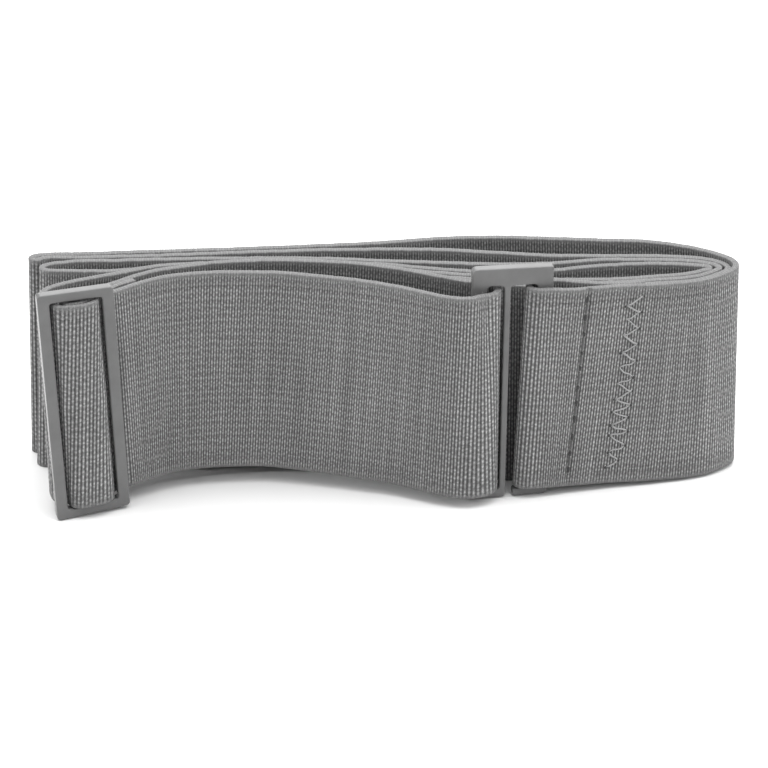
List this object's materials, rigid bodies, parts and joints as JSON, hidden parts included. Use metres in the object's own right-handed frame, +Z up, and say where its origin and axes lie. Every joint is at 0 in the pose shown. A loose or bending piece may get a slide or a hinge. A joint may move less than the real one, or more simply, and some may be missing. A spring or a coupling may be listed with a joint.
{
  "type": "elastic stretch belt",
  "caption": "Wide ribbed elastic belt folded into a flat pack standing on its long edge, with a slide adjuster and a hook clasp joined through its sewn end loops",
  "frame": {"origin": "middle of the bounding box's footprint, on the surface that the pack stands on", "axes": "+X along the pack from the slide adjuster to the plain folded end, +Y from the face with the clasp toward the back of the pack, +Z up, across the webbing"},
  "size_m": [0.1578, 0.0406, 0.0577],
  "materials": {
    "webbing": "matt mid grey ribbed elastic webbing",
    "hardware": "smooth semi-gloss mid grey coating"
  },
  "bodies": {
    "root": {"webbing": "webbing", "slide_adjuster": "hardware", "hook_clasp": "hardware"}
  },
  "joints": []
}
